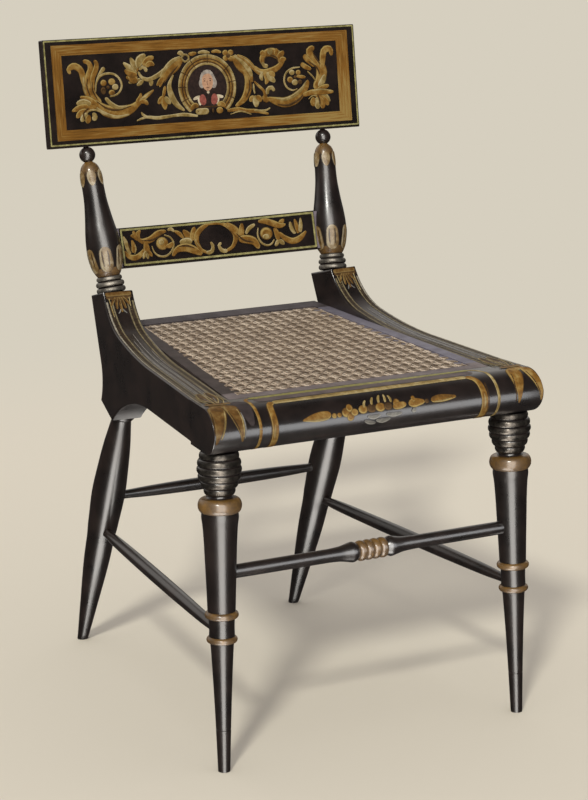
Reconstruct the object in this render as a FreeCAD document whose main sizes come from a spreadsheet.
import FreeCAD, Part
import math
import os

import Sketcher
from FreeCAD import Placement, Rotation, Vector

# A painted side chair with turned legs and posts, scrolled side rails, a rolled front rail,
# a caned seat in its own frame, a stay rail and a broad crest tablet.
# Millimetres. Z is up, the sitter faces -Y, and the origin lies on the floor under the middle.

SIZES = {
    # whole chair
    "overall_depth": 550,
    "front_width": 460,
    "back_width": 368,
    "fit_gap": 0.1,
    "overrun": 4,
    # seat plane: height at the front of the seat frame, and how much it rises to the back
    "seat_height": 451.5,
    "seat_rise": 18,
    "seat_start": 56,
    # side rails, sawn from thick plank, measured along the plank from the nose
    "rail_thick": 41.5,
    "rail_length": 454,
    "rail_top_rise": 55,
    "rail_block": 50,
    "rail_sweep_start": 216,
    "rail_sweep_climb": 4.5,
    "rail_sweep_rise": 17,
    "rail_bend": 347,
    "rail_deep": 54.5,
    "rail_under_rise": 5.5,
    "rail_arch_start": 226,
    "rail_arch_bend": 337,
    "rail_arch_drop": 22,
    "rail_cusp": 378,
    "rail_cusp_drop": 26,
    "rail_land": 47,
    "rail_waist": 417,
    "rail_waist_drop": 31.5,
    "rail_tenon_thick": 13,
    "rail_tenon_long": 18,
    "rail_tenon_high": 26,
    "rail_tenon_inset": 2,
    "rail_tenon_rise": 7,
    # front rail with its rolled nose
    "front_rail_deep": 80,
    "front_rail_high": 55.5,
    "nose_rise": 30,
    "nose_under": 26,
    "nose_over": 36,
    # rear rail
    "rear_rail_back": 417,
    "rear_rail_thick": 24,
    "rear_rail_high": 46,
    "rear_tenon_long": 12,
    "rear_tenon_shoulder": 6,
    # seat frame and cane
    "frame_depth": 382,
    "frame_thick": 18,
    "frame_side_width": 26,
    "frame_front_width": 23,
    "frame_rear_width": 35,
    "frame_tenon_long": 10,
    "frame_tenon_thick": 6,
    "frame_tenon_shoulder": 4,
    "cane_lap": 9,
    "cane_thick": 1.6,
    "cane_pitch": 25.4,
    "cane_hole": 15,
    "glue_block_long": 60,
    "glue_block_side": 18,
    "glue_block_front": 96,
    "glue_block_rear": 290,
    # front legs
    "front_leg_inset": 26,
    "front_leg_back": 40,
    "front_leg_rake": 22,
    "front_leg_splay": 7,
    "leg_tenon_radius": 10,
    "leg_tenon_long": 30,
    "beehive_radius": 27,
    "beehive_high": 54,
    "leg_torus_radius": 26.5,
    "leg_torus_down": 72.7,
    "leg_torus_half": 9,
    "leg_neck_radius": 15,
    "leg_shaft_radius": 22.5,
    "leg_waist_radius": 17.5,
    "leg_ring_height": 195,
    "leg_ring_apart": 30,
    "leg_ring_half": 3.5,
    "leg_shank_radius": 15.6,
    "leg_taper_radius": 14.2,
    "leg_foot_radius": 7.8,
    # rear legs
    "rear_leg_inset": 24,
    "rear_leg_splay": 1.7,
    "rear_tenon_radius": 10,
    "rear_tenon_deep": 36,
    "rear_disc_radius": 15.5,
    "rear_disc_high": 3,
    "rear_bead_radius": 14.5,
    "rear_bead_high": 9,
    "rear_neck_radius": 12.8,
    "rear_neck_high": 3,
    "rear_shoulder_radius": 18.6,
    "rear_shoulder_down": 60,
    "rear_swell_radius": 22.2,
    "rear_swell_down": 115,
    "rear_swell_long": 36,
    "rear_shin_radius": 15.6,
    "rear_shin_height": 105,
    "rear_foot_radius": 7.4,
    # back posts
    "post_rake": 50,
    "post_splay": 10.8,
    "post_length": 193,
    "post_dowel_radius": 8,
    "post_dowel_long": 30,
    "post_ring_radius": 16.4,
    "post_rings_high": 22,
    "post_bulb_radius": 23,
    "post_bulb_height": 53,
    "post_waist_radius": 14.4,
    "post_waist_height": 138,
    "post_cap_height": 152,
    "ball_radius": 10.5,
    "crest_dowel_radius": 3.5,
    "crest_dowel_long": 12,
    # stay rail
    "stay_height": 30,
    "stay_high": 53,
    "stay_thick": 10,
    "stay_bow": 10,
    "stay_inset": 8,
    # crest tablet
    "tablet_width": 462,
    "tablet_high": 140,
    "tablet_thick": 12,
    "tablet_bow": 3,
    "tablet_lean": 19.5,
    "tablet_ease": 1.2,
    # stretchers
    "front_stretcher_height": 246,
    "front_stretcher_end": 7,
    "front_stretcher_radius": 8.5,
    "front_stretcher_ring": 12.5,
    "front_stretcher_groove": 9.8,
    "front_stretcher_rings": 40,
    "front_stretcher_collar": 7,
    "front_stretcher_flare": 34,
    "side_stretcher_front": 172,
    "side_stretcher_rear": 178,
    "rear_stretcher_height": 229,
    "stretcher_end": 5.8,
    "stretcher_swell": 8.5,
    "stretcher_inset": 5,
    "stretcher_tenon": 26,
    "stretcher_taper": 60,
}

# How far each run of an outline bows, as a share of half its length.
NOSE_SHARES = (0.40, 0.38)
RAIL_TOP_SHARES = (0.2, 0.055)
RAIL_UNDER_SHARES = (0.118, 0.064)
RAIL_BACK_SHARE = 0.2
BEAD_SHARE = 0.85
TORUS_SHARES = (0.42, 0.30)
POST_BULB_SHARE = 0.2
POST_WAIST_SHARES = (0.07, 0.05)
POST_CAP_SHARE = 0.3
BALL_SHARE = 0.62
STRETCHER_FLARE_SHARE = 0.12
# Radius of each groove of the beehive, from the top, as a share of its greatest radius.
BEEHIVE_SHARES = (0.74, 0.84, 0.92, 0.91, 0.82, 0.67, 0.53)
BEEHIVE_BEAD_SHARE = 0.56
# The post's three rings: groove radii from the bottom, and where each ends.
POST_RING_SHARES = (1.0, 1.0, 0.95, 0.89)
POST_RING_END_SHARES = (0.0, 0.35, 0.69, 1.0)
# Where the bulb turns in towards the waist, up the post and in radius.
POST_TURN_SHARES = (0.49, 0.5)
BALL_NECK_SHARE = 0.52
FRONT_STRETCHER_RING_COUNT = 4
TURNING_FLAT_DEGREES = 60
CANE_CORNER_SHARE = 0.4


class Size:
    """A number together with the sheet expression that gives it."""

    def __init__(self, value, text):
        self.value = float(value)
        self.text = text

    def __float__(self):
        return self.value

    def __neg__(self):
        return Size(-self.value, f"(-1 * {self.text})")

    def __add__(self, other):
        other = size_of(other)
        return Size(self.value + other.value, f"({self.text} + {other.text})")

    def __sub__(self, other):
        other = size_of(other)
        return Size(self.value - other.value, f"({self.text} - {other.text})")

    def __mul__(self, other):
        other = size_of(other)
        return Size(self.value * other.value, f"({self.text} * {other.text})")

    def __truediv__(self, other):
        other = size_of(other)
        return Size(self.value / other.value, f"({self.text} / {other.text})")

    def __radd__(self, other):
        return size_of(other) + self

    def __rsub__(self, other):
        return size_of(other) - self

    def __rmul__(self, other):
        return size_of(other) * self


def size_of(number):
    return number if isinstance(number, Size) else Size(number, f"({float(number)!r})")


def root(size):
    return Size(math.sqrt(size.value), f"sqrt({size.text})")


doc = FreeCAD.newDocument("side_chair")


def make_sheet():
    """Puts every driving size in the sheet and returns them by name."""
    sheet = doc.addObject("Spreadsheet::Sheet", "sizes")
    for row, (alias, value) in enumerate(SIZES.items(), start=1):
        sheet.set(f"A{row}", alias)
        sheet.set(f"B{row}", str(value))
        sheet.setAlias(f"B{row}", alias)
    doc.recompute()
    return {alias: Size(sheet.get(alias), f"sizes.{alias}") for alias in SIZES}


S = make_sheet()


# Drawing and shaping helpers


def origin_plane(body, role):
    return next(f for f in body.Origin.OriginFeatures if f.Role == role)


def new_sketch(body, role):
    sketch = body.newObject("Sketcher::SketchObject", body.Name + "_sketch")
    sketch.AttachmentSupport = (origin_plane(body, role), "")
    sketch.MapMode = "FlatFace"
    return sketch


def add_run(sketch, start, end, bow):
    """Draws one run of an outline, straight or bowed, and returns it with the ends' numbers."""
    p = Vector(float(start[0]), float(start[1]), 0)
    q = Vector(float(end[0]), float(end[1]), 0)
    if bow == 0:
        return sketch.addGeometry(Part.LineSegment(p, q), False), 1, 2
    chord = (q - p).Length
    left = Vector(-(q.y - p.y) / chord, (q.x - p.x) / chord, 0)
    radius = chord / 4 * (abs(bow) + 1 / abs(bow))
    centre = (p + q) / 2 + left * (bow * chord / 2 - math.copysign(radius, bow))
    first, last = (q, p) if bow > 0 else (p, q)
    angles = [math.atan2(v.y - centre.y, v.x - centre.x) for v in (first, last)]
    circle = Part.Circle(centre, Vector(0, 0, 1), radius)
    geometry = sketch.addGeometry(Part.ArcOfCircle(circle, *angles), False)
    return (geometry, 2, 1) if bow > 0 else (geometry, 1, 2)


def flattened(points):
    """Replaces each bowed run of an outline with straight ones that follow the same arc."""
    result = []
    for start, end in zip(points, points[1:] + points[:1]):
        x, y, bow = size_of(start[0]), size_of(start[1]), start[2]
        result.append((x, y, 0))
        if bow == 0:
            continue
        half = 2 * math.atan(abs(bow))
        flats = math.ceil(math.degrees(2 * half) / TURNING_FLAT_DEGREES)
        across, up = end[0] - x, end[1] - y
        for step in range(1, flats):
            turn = half * (1 - 2 * step / flats)
            way = (1 - math.sin(turn) / math.sin(half)) / 2
            rise = math.copysign((math.cos(turn) - math.cos(half)) / (2 * math.sin(half)), bow)
            result.append((x + across * way - up * rise, y + up * way + across * rise, 0))
    return result


def draw_outline(sketch, points, closed=True):
    """Draws an outline through points (x, y, bow of the run that leaves the point)."""
    count = len(points)
    runs = count if closed else count - 1
    drawn = [add_run(sketch, points[i], points[(i + 1) % count], points[i][2]) for i in range(runs)]
    constraints = []
    formulas = {}
    for i in range(runs):
        if closed or i + 1 < runs:
            following = drawn[(i + 1) % runs]
            constraints.append(
                Sketcher.Constraint("Coincident", drawn[i][0], drawn[i][2], following[0], following[1])
            )
    for i in range(count):
        geometry, end = (drawn[i][0], drawn[i][1]) if i < runs else (drawn[-1][0], drawn[-1][2])
        for kind, place in (("DistanceX", points[i][0]), ("DistanceY", points[i][1])):
            formulas[len(constraints)] = size_of(place)
            constraints.append(Sketcher.Constraint(kind, geometry, end, float(place)))
        if i < runs and points[i][2]:
            after = points[(i + 1) % count]
            across, up = after[0] - size_of(points[i][0]), after[1] - size_of(points[i][1])
            bow = abs(points[i][2])
            radius = root(across * across + up * up) * ((bow + 1 / bow) / 4)
            formulas[len(constraints)] = radius
            constraints.append(Sketcher.Constraint("Radius", geometry, float(radius)))
    sketch.addConstraint(constraints)
    for number, size in formulas.items():
        sketch.setExpression(f"Constraints[{number}]", size.text)
    return sketch


def padded_body(label, role, points, length, symmetric=False, backwards=False):
    """A body padded from one outline."""
    body = doc.addObject("PartDesign::Body", label)
    sketch = draw_outline(new_sketch(body, role), points)
    pad = body.newObject("PartDesign::Pad", label + "_pad")
    pad.Profile = sketch
    pad.setExpression("Length", length.text)
    pad.Midplane = symmetric
    pad.Reversed = backwards
    sketch.Visibility = False
    return body


def turned_body(label, points):
    """A body turned round its own Z from (radius, height, bow) points, both ends on the axis.

    Round parts are turned as flats, so that every surface is a plain taper.
    """
    body = doc.addObject("PartDesign::Body", label)
    sketch = draw_outline(new_sketch(body, "XZ_Plane"), flattened(points))
    turning = body.newObject("PartDesign::Revolution", label + "_turning")
    turning.Profile = sketch
    turning.ReferenceAxis = (sketch, ["V_Axis"])
    sketch.Visibility = False
    return body


def along(base, direction):
    """A placement that puts local Z along a direction."""
    return Placement(base, Rotation(Vector(0, 0, 1), direction))


def rod(label, radius, length, placement):
    cylinder = doc.addObject("Part::Cylinder", label)
    cylinder.setExpression("Radius", size_of(radius).text)
    cylinder.setExpression("Height", size_of(length).text)
    cylinder.Placement = placement
    return cylinder


def block(label, length, width, height, placement):
    box = doc.addObject("Part::Box", label)
    for side, size in (("Length", length), ("Width", width), ("Height", height)):
        box.setExpression(side, size_of(size).text)
    box.Placement = placement
    return box


def joined(label, *pieces):
    fusion = doc.addObject("Part::MultiFuse", label)
    fusion.Shapes = list(pieces)
    return fusion


def cut(label, base, *tools):
    result = doc.addObject("Part::Cut", label)
    result.Base = base
    result.Tool = tools[0] if len(tools) == 1 else joined(label + "_tools", *tools)
    return result


def shared(label, first, second):
    common = doc.addObject("Part::Common", label)
    common.Base = first
    common.Tool = second
    return common


# Places that several pieces share

FRONT = -float(S["overall_depth"]) / 2
SIDES = {"left": -1, "right": 1}
GAP = S["fit_gap"]

front_rail_bottom = S["seat_height"] - S["front_rail_high"]
rail_under = S["seat_height"] - S["rail_deep"]
taper_sin = (S["front_width"] - S["back_width"]) / (2 * S["rail_length"])
taper_cos = root(1 - taper_sin * taper_sin)
taper_tan = taper_sin / taper_cos
seat_slope = S["seat_rise"] / S["frame_depth"]
seat_angle = math.degrees(math.atan(float(seat_slope)))
seat_placement = Placement(
    Vector(0, FRONT + float(S["seat_start"]), float(S["seat_height"])),
    Rotation(Vector(1, 0, 0), seat_angle),
)


def seat_level(back):
    """Height of the seat plane at a distance back from the nose."""
    return S["seat_height"] + (back - S["seat_start"]) * seat_slope


def rail_inner(back):
    """Half the clear width between the side rails at a distance back from the nose."""
    return S["front_width"] / 2 - S["rail_thick"] / taper_cos - back * taper_tan


def plank_point(side, run, height, inward):
    """A place on a side rail: along the plank from the nose, up, and in from its outer face."""
    sine, cosine = float(taper_sin), float(taper_cos)
    x = float(S["front_width"]) / 2 - float(run) * sine - float(inward) * cosine
    y = FRONT + float(run) * cosine - float(inward) * sine
    return Vector(side * x, y, float(height))


def plank_turn(side):
    return Rotation(Vector(0, 0, 1), side * math.degrees(math.asin(float(taper_sin))))


rail_middle = S["rail_thick"] / 2
top_back = (S["rail_length"], S["seat_height"] + S["rail_top_rise"])
sweep_foot = S["seat_height"] + S["rail_sweep_climb"]
post_lean = S["post_rake"] / S["post_length"]
post_angle = math.degrees(math.asin(float(post_lean)))
block_rise = S["rail_block"] * post_lean
top_front = (S["rail_length"] - S["rail_block"] * root(1 - post_lean * post_lean), top_back[1] + block_rise)
post_run = (top_back[0] + top_front[0]) / 2
post_foot_height = (top_back[1] + top_front[1]) / 2

under_bend = rail_under + S["rail_under_rise"] - S["rail_arch_drop"]
cusp = (S["rail_cusp"], under_bend - S["rail_cusp_drop"])

# The rear leg stands square on a land at the rail's heel, so the land's slope is the leg's rake.
heel_reach = float(S["overall_depth"]) - float(S["rear_foot_radius"]) - float(cusp[0]) - float(S["rail_land"]) / 2
rear_angle = math.atan2(heel_reach, float(cusp[1]))
land_along = S["rail_land"] * math.cos(rear_angle)
land_up = S["rail_land"] * math.sin(rear_angle)
heel = (cusp[0] + land_along, cusp[1] + land_up)


def post_foot(side):
    return plank_point(side, post_run, post_foot_height, rail_middle)


def post_direction(side):
    rake, splay, length = float(S["post_rake"]), float(S["post_splay"]), float(S["post_length"])
    return Vector(side * splay, rake, math.sqrt(length**2 - rake**2 - splay**2)).normalize()


def front_leg_ends(side):
    """Foot and top of a front leg's axis."""
    x = float(S["front_width"]) / 2 - float(S["front_leg_inset"])
    y = FRONT + float(S["front_leg_back"])
    top = Vector(side * x, y, float(front_rail_bottom))
    foot = Vector(side * (x + float(S["front_leg_splay"])), y - float(S["front_leg_rake"]), 0)
    return foot, top


def rear_leg_ends(side):
    """Foot and top of a rear leg's axis."""
    top = plank_point(side, (cusp[0] + heel[0]) / 2, (cusp[1] + heel[1]) / 2, S["rear_leg_inset"])
    back = float(S["overall_depth"]) / 2 - float(S["rear_foot_radius"]) / math.cos(rear_angle)
    return Vector(top.x + side * float(S["rear_leg_splay"]), back, 0), top


def at_height(ends, height):
    foot, top = ends
    return foot + (top - foot) * (float(height) / (top.z - foot.z))


# Seat frame: four members tenoned together, all drawn on the seat plane


def frame_half_width(down):
    """Half the seat frame's width at a distance down the seat plane from its front edge."""
    return rail_inner(S["seat_start"] + down) - GAP


def frame_band(start, end, inset_start, inset_end):
    """A strip across the seat plane, as wide as the frame less an inset at each side."""
    half_start = frame_half_width(start) - inset_start
    half_end = frame_half_width(end) - inset_end
    return [
        (-half_start, start, 0),
        (half_start, start, 0),
        (half_end, end, 0),
        (-half_end, end, 0),
    ]


def seat_plate(label, points, thick, top=0):
    """A flat piece on the seat plane, its upper face a little below or above the plane."""
    body = padded_body(label, "XY_Plane", points, size_of(thick), backwards=True)
    body.Placement = seat_placement * Placement(Vector(0, 0, float(top)), Rotation())
    return body


def frame_slab(label, slack, above):
    """The whole space of the seat frame, with room all round, to cut its seating."""
    start, end = -size_of(slack), S["frame_depth"] + slack
    points = frame_band(start, end, -size_of(slack) - GAP, -size_of(slack) - GAP)
    return seat_plate(label, points, S["frame_thick"] + above, above)


def side_strip(side, start, end, outer, inner):
    """A strip along one side of the seat frame between two insets."""
    return [
        (side * (frame_half_width(start) - outer), start, 0),
        (side * (frame_half_width(start) - inner), start, 0),
        (side * (frame_half_width(end) - inner), end, 0),
        (side * (frame_half_width(end) - outer), end, 0),
    ]


def make_seat_frame():
    inner_start, side_width = S["frame_front_width"], S["frame_side_width"]
    depth, shoulder = S["frame_depth"], S["frame_tenon_shoulder"]
    inner_end = depth - S["frame_rear_width"]
    ledge = seat_plate(
        "cane_ledge",
        frame_band(inner_start - S["cane_lap"], inner_end + S["cane_lap"], side_width - S["cane_lap"],
                   side_width - S["cane_lap"]),
        S["cane_thick"] + S["overrun"],
        S["overrun"],
    )
    tenon_top = -(S["frame_thick"] + S["frame_tenon_thick"]) / 2 + S["frame_tenon_thick"]
    mortises = []
    for name, side in SIDES.items():
        blank = seat_plate(
            f"frame_{name}_blank", side_strip(side, inner_start, inner_end, size_of(0), side_width), S["frame_thick"]
        )
        reach = S["frame_tenon_long"]
        tenon = seat_plate(
            f"frame_{name}_tenon",
            side_strip(side, inner_start - reach, inner_end + reach, shoulder, side_width - shoulder),
            S["frame_tenon_thick"],
            tenon_top,
        )
        mortises.append(
            seat_plate(
                f"frame_{name}_mortise",
                side_strip(
                    side, inner_start - reach - GAP, inner_end + reach + GAP, shoulder - GAP,
                    side_width - shoulder + GAP
                ),
                S["frame_tenon_thick"] + 2 * GAP,
                tenon_top + GAP,
            )
        )
        cut(f"seat_frame_{name}", joined(f"frame_{name}_member", blank, tenon), ledge)
    for name, start, end in (("front", size_of(0), inner_start), ("rear", inner_end, depth)):
        blank = seat_plate(f"frame_{name}_blank", frame_band(start, end, size_of(0), size_of(0)), S["frame_thick"])
        cut(f"seat_frame_{name}", blank, ledge, *mortises)


def make_cane():
    """The woven cane as one open net: a face with an eight-sided hole at each crossing."""
    start = S["frame_front_width"] - S["cane_lap"] + GAP
    end = S["frame_depth"] - S["frame_rear_width"] + S["cane_lap"] - GAP
    inset = S["frame_side_width"] - S["cane_lap"] + GAP
    outline = [Vector(float(x), float(y), 0) for x, y, _ in frame_band(start, end, inset, inset)]
    wires = [Part.makePolygon(outline + outline[:1])]
    pitch, half = float(S["cane_pitch"]), float(S["cane_hole"]) / 2
    margin = float(S["cane_lap"]) + half
    corner = half * CANE_CORNER_SHARE
    length = float(end) - float(start)
    rows = int((length - 2 * margin) / pitch) + 1
    first_row = (float(start) + float(end) - (rows - 1) * pitch) / 2
    for row in range(rows):
        down = first_row + row * pitch
        room = float(frame_half_width(size_of(down + half))) - float(inset) - margin
        columns = 2 * int(room / pitch) + 1
        for column in range(columns):
            across = (column - (columns - 1) / 2) * pitch
            shape = [(half, corner), (corner, half), (-corner, half), (-half, corner),
                     (-half, -corner), (-corner, -half), (corner, -half), (half, -corner)]
            ring = [Vector(across + x, down + y, 0) for x, y in shape]
            wires.append(Part.makePolygon(ring + ring[:1]))
    net = Part.makeFace(wires, "Part::FaceMakerBullseye").extrude(Vector(0, 0, -float(S["cane_thick"])))
    cane = doc.addObject("Part::Feature", "cane_seat")
    cane.Shape = net
    cane.Placement = seat_placement


# Rails


def make_front_rail():
    deep, bottom = S["front_rail_deep"], front_rail_bottom
    section = [
        (FRONT + deep, bottom, 0),
        (FRONT + S["nose_under"], bottom, NOSE_SHARES[0]),
        (size_of(FRONT), bottom + S["nose_rise"], NOSE_SHARES[1]),
        (FRONT + S["nose_over"], S["seat_height"], 0),
        (FRONT + deep, S["seat_height"], 0),
    ]
    roll = padded_body("front_rail_roll", "YZ_Plane", section, S["front_width"] + S["overrun"], symmetric=True)
    half, back_half = S["front_width"] / 2, S["front_width"] / 2 - deep * taper_tan
    plan = [
        (-half, size_of(FRONT), 0),
        (half, size_of(FRONT), 0),
        (back_half, FRONT + deep, 0),
        (-back_half, FRONT + deep, 0),
    ]
    ends = padded_body("front_rail_plan", "XY_Plane", plan, S["seat_height"] + S["overrun"])
    seating = frame_slab("front_rail_seating", GAP, S["overrun"])
    tools = [seating]
    for name, side in SIDES.items():
        foot, top = front_leg_ends(side)
        direction = (top - foot).normalize()
        tools.append(
            rod(
                f"front_leg_{name}_socket", S["leg_tenon_radius"] + GAP,
                S["leg_tenon_long"] + GAP + S["overrun"],
                along(top - direction * float(S["overrun"]), direction),
            )
        )
        tools.append(rail_tenon(f"side_rail_{name}_mortise", side, GAP))
    cut("front_rail", shared("front_rail_blank", roll, ends), *tools)


def rail_tenon(label, side, slack):
    """The tenon of a side rail into the front rail, or with slack its mortise."""
    thick, high = S["rail_tenon_thick"], S["rail_tenon_high"]
    reach = S["rail_tenon_long"] + S["overrun"]
    outer = rail_inner(S["front_rail_deep"]) + S["rail_tenon_inset"]
    low_x = outer - slack if side > 0 else -outer - thick - slack
    base = Vector(
        float(low_x),
        FRONT + float(S["front_rail_deep"]) - float(S["rail_tenon_long"]) - float(slack),
        float(front_rail_bottom) + float(S["rail_tenon_rise"]) - float(slack),
    )
    return block(label, thick + 2 * slack, reach + 2 * slack, high + 2 * slack, Placement(base, Rotation()))


def rail_outline():
    start = S["front_rail_deep"] - S["rail_thick"] * taper_sin - S["overrun"]
    under_slope = S["rail_under_rise"] / S["rail_arch_start"]
    return [
        (start, rail_under + start * under_slope, 0),
        (S["rail_arch_start"], rail_under + S["rail_under_rise"], RAIL_UNDER_SHARES[0]),
        (S["rail_arch_bend"], under_bend, RAIL_UNDER_SHARES[1]),
        (cusp[0], cusp[1], 0),
        (heel[0], heel[1], RAIL_BACK_SHARE),
        (S["rail_waist"], S["seat_height"] - S["rail_waist_drop"], 0),
        (top_back[0], top_back[1], 0),
        (top_front[0], top_front[1], RAIL_TOP_SHARES[0]),
        (S["rail_bend"], sweep_foot + S["rail_sweep_rise"], RAIL_TOP_SHARES[1]),
        (S["rail_sweep_start"], sweep_foot, 0),
        (start, S["seat_height"], 0),
    ]


def make_side_rail(name, side):
    plank = padded_body(f"side_rail_{name}_plank", "YZ_Plane", rail_outline(), S["rail_thick"], symmetric=True)
    plank.Placement = Placement(plank_point(side, 0, 0, rail_middle), plank_turn(side))
    # The plank's front end is sawn off parallel to the front rail's back.
    waste = 2 * S["rail_thick"]
    end_face = FRONT + float(S["front_rail_deep"])
    middle = plank_point(side, 0, S["seat_height"] - waste, rail_middle)
    saw = block(
        f"side_rail_{name}_saw", waste, waste, 2 * waste,
        Placement(Vector(middle.x - float(waste) / 2, end_face - float(waste), middle.z), Rotation()),
    )
    trimmed = cut(f"side_rail_{name}_trimmed", plank, saw)
    whole = joined(f"side_rail_{name}_whole", trimmed, rail_tenon(f"side_rail_{name}_tenon", side, 0))
    foot, top = rear_leg_ends(side)
    up = (top - foot).normalize()
    post = post_foot(side)
    down = post_direction(side) * -1
    leg_socket = rod(
        f"rear_leg_{name}_socket", S["rear_tenon_radius"] + GAP,
        S["rear_tenon_deep"] + GAP + S["overrun"], along(top - up * float(S["overrun"]), up),
    )
    post_socket = rod(
        f"back_post_{name}_socket", S["post_dowel_radius"] + GAP,
        S["post_dowel_long"] + GAP + S["overrun"], along(post - down * float(S["overrun"]), down),
    )
    mortise = rear_rail_tenons(f"rear_rail_{name}_mortise", GAP)
    cut(f"side_rail_{name}", whole, leg_socket, post_socket, mortise)


def rear_rail_bottom():
    back = S["rear_rail_back"]
    return seat_level(back) - S["frame_thick"] - S["rear_rail_high"]


def rear_rail_tenons(label, slack):
    """The bar that makes both tenons of the rear rail, or with slack both mortises."""
    back, shoulder = S["rear_rail_back"], S["rear_tenon_shoulder"]
    half = rail_inner(back) + S["rear_tenon_long"] + slack
    thick = S["rear_rail_thick"] - 2 * shoulder + 2 * slack
    high = S["rear_rail_high"] - 2 * shoulder + 2 * slack
    base = Vector(
        -float(half),
        FRONT + float(back) - float(S["rear_rail_thick"]) + float(shoulder) - float(slack),
        float(rear_rail_bottom()) + float(shoulder) - float(slack),
    )
    return block(label, 2 * half, thick, high, Placement(base, Rotation()))


def make_rear_rail():
    back, thick = S["rear_rail_back"], S["rear_rail_thick"]
    front_half, back_half = rail_inner(back - thick) - GAP, rail_inner(back) - GAP
    plan = [
        (-front_half, FRONT + back - thick, 0),
        (front_half, FRONT + back - thick, 0),
        (back_half, FRONT + back, 0),
        (-back_half, FRONT + back, 0),
    ]
    board = padded_body("rear_rail_board", "XY_Plane", plan, S["rear_rail_high"] + S["overrun"])
    board.Placement = Placement(Vector(0, 0, float(rear_rail_bottom())), Rotation())
    whole = joined("rear_rail_whole", board, rear_rail_tenons("rear_rail_tenons", 0))
    cut("rear_rail", whole, frame_slab("rear_rail_seating", 0, S["overrun"] * 2))


def make_glue_blocks():
    """Four softwood blocks glued in the corner between the seat frame and the side rails."""
    side_length, length = S["glue_block_side"], S["glue_block_long"]
    pieces = []
    for name, side in SIDES.items():
        for place, run in (("front", S["glue_block_front"]), ("rear", S["glue_block_rear"])):
            top = seat_level(run * taper_cos) - S["frame_thick"] - GAP
            corner = plank_point(side, run, top, S["rail_thick"])
            tilt = Rotation(Vector(1, 0, 0), math.degrees(math.atan(float(seat_slope * taper_cos))))
            shift = Vector(-float(side_length) if side > 0 else 0, 0, -float(side_length))
            pieces.append(
                block(
                    f"glue_block_{name}_{place}", side_length, length, side_length,
                    Placement(corner, plank_turn(side) * tilt) * Placement(shift, Rotation()),
                )
            )
    blocks = doc.addObject("Part::Compound", "glue_blocks")
    blocks.Links = pieces


# Turned pieces


def beads(start, end, count, radius_in, bow):
    """Points of equal beads from one height to another; each groove has its own radius."""
    step = (end - start) / count
    return [(radius_in[i], start + step * i, bow) for i in range(count)]


def front_leg_outline(length):
    hive_foot = length - S["beehive_high"]
    hive = [S["beehive_radius"] * share for share in reversed(BEEHIVE_SHARES)]
    torus, half = length - S["leg_torus_down"], S["leg_torus_half"]
    high_ring, ring = S["leg_ring_height"], S["leg_ring_half"]
    low_ring = high_ring - S["leg_ring_apart"]
    taper = (S["leg_taper_radius"] - S["leg_foot_radius"]) / (low_ring - ring)
    count = len(hive) - 1
    points = [
        (size_of(0), -S["overrun"], 0),
        (S["leg_foot_radius"] - S["overrun"] * taper, -S["overrun"], 0),
        (S["leg_taper_radius"], low_ring - ring, -BEAD_SHARE),
        (S["leg_shank_radius"], low_ring + ring, 0),
        (S["leg_shank_radius"], high_ring - ring, -BEAD_SHARE),
        (S["leg_waist_radius"], high_ring + ring, 0),
        (S["leg_shaft_radius"], torus - half, -TORUS_SHARES[1]),
        (S["leg_torus_radius"], torus, -TORUS_SHARES[0]),
        (S["leg_neck_radius"], torus + half, 0),
    ]
    points += beads(hive_foot, length, count, hive, -BEEHIVE_BEAD_SHARE)
    points += [(hive[-1], length, 0), (hive[-1], length + S["overrun"], 0), (size_of(0), length + S["overrun"], 0)]
    return points


def trim_to_plane(label, piece, place, normal):
    """Saws off what stands past a plane; the waste lies on the normal's side."""
    waste_size = 2 * S["rail_thick"]
    waste = block(
        label + "_waste", waste_size, waste_size, waste_size,
        along(place, normal) * Placement(Vector(-float(waste_size) / 2, -float(waste_size) / 2, 0), Rotation()),
    )
    return cut(label, piece, waste)


def make_front_leg(name, side, sockets):
    foot, top = front_leg_ends(side)
    direction = (top - foot).normalize()
    rake, splay, height = S["front_leg_rake"], S["front_leg_splay"], front_rail_bottom
    length = root(rake * rake + splay * splay + height * height)
    turned = turned_body(f"front_leg_{name}_turned", front_leg_outline(length))
    turned.Placement = along(foot, direction)
    footed = trim_to_plane(f"front_leg_{name}_footed", turned, foot, Vector(0, 0, -1))
    topped = trim_to_plane(f"front_leg_{name}_topped", footed, top, Vector(0, 0, 1))
    tenon = rod(
        f"front_leg_{name}_tenon", S["leg_tenon_radius"], S["leg_tenon_long"] + S["overrun"],
        along(top - direction * float(S["overrun"]), direction),
    )
    cut(f"front_leg_{name}", joined(f"front_leg_{name}_whole", topped, tenon), *sockets)


def rear_leg_outline(length):
    bead_top = length - S["rear_disc_high"]
    neck_top = bead_top - S["rear_bead_high"]
    neck = neck_top - S["rear_neck_high"]
    slope = (S["rear_shin_radius"] - S["rear_foot_radius"]) / S["rear_shin_height"]
    return [
        (size_of(0), -S["overrun"], 0),
        (S["rear_foot_radius"] - S["overrun"] * slope, -S["overrun"], 0),
        (S["rear_shin_radius"], S["rear_shin_height"], 0),
        (S["rear_swell_radius"], length - S["rear_swell_down"] - S["rear_swell_long"], 0),
        (S["rear_swell_radius"], length - S["rear_swell_down"], 0),
        (S["rear_shoulder_radius"], length - S["rear_shoulder_down"], 0),
        (S["rear_neck_radius"], neck, 0),
        (S["rear_bead_radius"], neck_top, -BEAD_SHARE),
        (S["rear_bead_radius"], bead_top, 0),
        (S["rear_disc_radius"], bead_top, 0),
        (S["rear_disc_radius"], length + S["overrun"], 0),
        (size_of(0), length + S["overrun"], 0),
    ]


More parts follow.
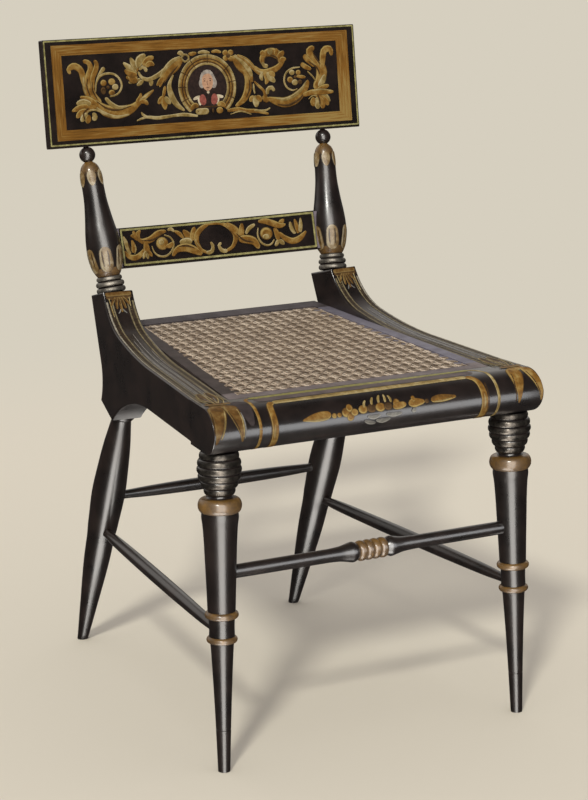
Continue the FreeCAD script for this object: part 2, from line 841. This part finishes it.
def make_rear_leg(name, side, sockets):
    foot, top = rear_leg_ends(side)
    direction = (top - foot).normalize()
    turned = turned_body(f"rear_leg_{name}_turned", rear_leg_outline(size_of((top - foot).Length)))
    turned.Placement = along(foot, direction)
    footed = trim_to_plane(f"rear_leg_{name}_footed", turned, foot, Vector(0, 0, -1))
    land_normal = Vector(0, -math.sin(rear_angle), math.cos(rear_angle))
    topped = trim_to_plane(f"rear_leg_{name}_topped", footed, top, land_normal)
    tenon = rod(
        f"rear_leg_{name}_tenon", S["rear_tenon_radius"], S["rear_tenon_deep"] + S["overrun"],
        along(top - direction * float(S["overrun"]), direction),
    )
    cut(f"rear_leg_{name}", joined(f"rear_leg_{name}_whole", topped, tenon), *sockets)


def post_outline():
    ring, rings_high = S["post_ring_radius"], S["post_rings_high"]
    ends = [rings_high * share for share in POST_RING_END_SHARES]
    radii = [ring * share for share in POST_RING_SHARES]
    bulb, bulb_height = S["post_bulb_radius"], S["post_bulb_height"]
    waist, waist_height = S["post_waist_radius"], S["post_waist_height"]
    turn = (
        bulb - (bulb - waist) * POST_TURN_SHARES[1],
        bulb_height + (waist_height - bulb_height) * POST_TURN_SHARES[0],
    )
    ball, neck = S["ball_radius"], S["ball_radius"] * BALL_NECK_SHARE
    centre = S["post_length"] - ball
    dowel = S["crest_dowel_radius"]
    points = [(size_of(0), -S["overrun"], 0), (radii[0], -S["overrun"], 0)]
    points += [(radii[i], ends[i], -BEAD_SHARE) for i in range(len(radii) - 1)]
    points += [
        (radii[-1], ends[-1], -POST_BULB_SHARE),
        (bulb, bulb_height, -POST_WAIST_SHARES[0]),
        (turn[0], turn[1], POST_WAIST_SHARES[1]),
        (waist, waist_height, 0),
        (waist, S["post_cap_height"], -POST_CAP_SHARE),
        (neck, centre - root(ball * ball - neck * neck), -BALL_SHARE),
        (dowel, centre + root(ball * ball - dowel * dowel), 0),
        (dowel, S["post_length"] + S["crest_dowel_long"], 0),
        (size_of(0), S["post_length"] + S["crest_dowel_long"], 0),
    ]
    return points


def make_back_post(name, side, mortise):
    foot, direction = post_foot(side), post_direction(side)
    turned = turned_body(f"back_post_{name}_turned", post_outline())
    turned.Placement = along(foot, direction)
    rake = math.asin(float(post_lean))
    trimmed = trim_to_plane(
        f"back_post_{name}_trimmed", turned, foot, Vector(0, -math.sin(rake), -math.cos(rake))
    )
    dowel = rod(
        f"back_post_{name}_dowel", S["post_dowel_radius"], S["post_dowel_long"] + S["overrun"],
        along(foot + direction * float(S["overrun"]), direction * -1),
    )
    cut(f"back_post_{name}", joined(f"back_post_{name}_whole", trimmed, dowel), mortise)


def bowed_board(label, width, high, thick, bow, slack=0):
    """A board bent to a long curve: its middle lies back from its ends."""
    half = width / 2 + slack
    share = float(bow) / float(width / 2)
    points = [
        (-half, size_of(0) - slack, share),
        (half, size_of(0) - slack, 0),
        (half, thick + slack, -share),
        (-half, thick + slack, 0),
    ]
    return padded_body(label, "XY_Plane", points, high + 2 * slack)


def stay_rail_board(label, slack):
    middle = S["stay_height"] + S["stay_high"] / 2
    direction = post_direction(1)
    axis = post_foot(1) + direction * float(middle)
    width = size_of(2 * axis.x) - 2 * S["stay_inset"]
    board = bowed_board(label, width, S["stay_high"], S["stay_thick"], S["stay_bow"], slack)
    low = post_foot(1) + direction * float(S["stay_height"])
    turn = Rotation(Vector(1, 0, 0), -post_angle)
    board.Placement = Placement(Vector(0, low.y, low.z), turn) * Placement(
        Vector(0, -float(S["stay_thick"]) / 2, -float(slack)), Rotation()
    )
    return board


def make_crest_tablet():
    lean = math.asin(float(S["tablet_lean"]) / float(S["tablet_high"]))
    board = bowed_board("tablet_board", S["tablet_width"], S["tablet_high"], S["tablet_thick"], S["tablet_bow"])
    pad = board.Tip
    doc.recompute()
    easing = board.newObject("PartDesign::Chamfer", "tablet_easing")
    easing.Base = (pad, [""])
    easing.UseAllEdges = True
    easing.setExpression("Size", S["tablet_ease"].text)
    direction = post_direction(1)
    ball = post_foot(1) + direction * float(S["post_length"] - S["ball_radius"])
    half = float(S["tablet_width"]) / 2
    bow_there = float(S["tablet_bow"]) * (1 - (ball.x / half) ** 2)
    up = Vector(0, math.sin(lean), math.cos(lean))
    back = Vector(0, math.cos(lean), -math.sin(lean))
    base = ball + up * float(S["ball_radius"] + GAP) - back * (bow_there + float(S["tablet_thick"]) / 2)
    board.Placement = Placement(Vector(0, base.y, base.z), Rotation(Vector(1, 0, 0), -math.degrees(lean)))
    tools = []
    for name, side in SIDES.items():
        direction = post_direction(side)
        start = post_foot(side) + direction * float(S["post_length"] - S["ball_radius"])
        length = S["ball_radius"] + S["crest_dowel_long"] + GAP
        tools.append(rod(f"crest_{name}_socket", S["crest_dowel_radius"] + GAP, length, along(start, direction)))
    cut("crest_tablet", board, *tools)


def stretcher_span(start, end):
    """Where a stretcher starts, its direction and its length between two leg axes."""
    direction = (end - start).normalize()
    inset = float(S["stretcher_inset"])
    return start + direction * inset, direction, (end - start).Length - 2 * inset


def plain_stretcher_outline(length):
    end, swell, tenon = S["stretcher_end"], S["stretcher_swell"], S["stretcher_tenon"]
    taper = S["stretcher_taper"]
    return [
        (size_of(0), size_of(0), 0),
        (end, size_of(0), 0),
        (end, tenon, 0),
        (swell, tenon + taper, 0),
        (swell, length - tenon - taper, 0),
        (end, length - tenon, 0),
        (end, length, 0),
        (size_of(0), length, 0),
    ]


def front_stretcher_outline(length):
    end, shaft, groove = S["front_stretcher_end"], S["front_stretcher_radius"], S["front_stretcher_groove"]
    tenon, rings = S["stretcher_tenon"], S["front_stretcher_rings"]
    collar, flare, ring = S["front_stretcher_collar"], S["front_stretcher_flare"], S["front_stretcher_ring"]
    left, right = (length - rings) / 2, (length + rings) / 2
    shoulder = shaft - end
    first = [
        (size_of(0), size_of(0), 0),
        (end, size_of(0), 0),
        (end, tenon, 0),
        (shaft, tenon + shoulder, 0),
        (shaft, left - collar - flare, STRETCHER_FLARE_SHARE),
        (ring, left - collar, -POST_BULB_SHARE),
    ]
    count = FRONT_STRETCHER_RING_COUNT
    centre = beads(left, right, count, [groove] * count, -BEAD_SHARE * float(ring - groove) / float(rings / 8))
    last = [
        (groove, right, -POST_BULB_SHARE),
        (ring, right + collar, STRETCHER_FLARE_SHARE),
        (shaft, right + collar + flare, 0),
        (shaft, length - tenon - shoulder, 0),
        (end, length - tenon, 0),
        (end, length, 0),
        (size_of(0), length, 0),
    ]
    return first + centre + last


def make_stretcher(label, start, end, outline, radius):
    """One stretcher and its socket, a rod a little fatter and longer that cuts both legs."""
    base, direction, length = stretcher_span(start, end)
    body = turned_body(label, outline(size_of(length)))
    body.Placement = along(base, direction)
    socket = rod(
        label + "_socket", radius + GAP, size_of(length) + 2 * GAP,
        along(base - direction * float(GAP), direction),
    )
    return socket


def make_stretchers():
    sockets = {("front", "left"): [], ("front", "right"): [], ("rear", "left"): [], ("rear", "right"): []}
    front = {name: front_leg_ends(side) for name, side in SIDES.items()}
    rear = {name: rear_leg_ends(side) for name, side in SIDES.items()}
    height = S["front_stretcher_height"]
    socket = make_stretcher(
        "front_stretcher", at_height(front["left"], height), at_height(front["right"], height),
        front_stretcher_outline, S["front_stretcher_end"],
    )
    sockets["front", "left"].append(socket)
    sockets["front", "right"].append(socket)
    height = S["rear_stretcher_height"]
    socket = make_stretcher(
        "rear_stretcher", at_height(rear["left"], height), at_height(rear["right"], height),
        plain_stretcher_outline, S["stretcher_end"],
    )
    sockets["rear", "left"].append(socket)
    sockets["rear", "right"].append(socket)
    for name in SIDES:
        socket = make_stretcher(
            f"side_stretcher_{name}", at_height(front[name], S["side_stretcher_front"]),
            at_height(rear[name], S["side_stretcher_rear"]), plain_stretcher_outline, S["stretcher_end"],
        )
        sockets["front", name].append(socket)
        sockets["rear", name].append(socket)
    return sockets


NODES = [
    "crest_tablet", "stay_rail", "back_post_left", "back_post_right",
    "side_rail_left", "side_rail_right", "front_rail", "rear_rail",
    "seat_frame_front", "seat_frame_rear", "seat_frame_left", "seat_frame_right",
    "cane_seat", "glue_blocks",
    "front_leg_left", "front_leg_right", "rear_leg_left", "rear_leg_right",
    "front_stretcher", "rear_stretcher", "side_stretcher_left", "side_stretcher_right",
]


def main():
    stay_rail_board("stay_rail", 0)
    stay_mortise = stay_rail_board("stay_rail_mortise", GAP)
    sockets = make_stretchers()
    for name, side in SIDES.items():
        make_side_rail(name, side)
        make_front_leg(name, side, sockets["front", name])
        make_rear_leg(name, side, sockets["rear", name])
        make_back_post(name, side, stay_mortise)
    make_front_rail()
    make_rear_rail()
    make_seat_frame()
    make_cane()
    make_glue_blocks()
    make_crest_tablet()
    doc.recompute()
    failed = [o.Name for o in doc.Objects if {"Invalid", "Error"} & set(o.State)]
    if failed:
        raise SystemExit(f"these did not build: {failed}")
    os.makedirs("parts", exist_ok=True)
    for name in NODES:
        piece = doc.getObjectsByLabel(name)[0]
        shape = piece.Shape
        if shape.isNull() or not shape.isValid():
            raise SystemExit(f"{name} has no sound shape")
        shape.exportStep(f"parts/{name}.step")


main()
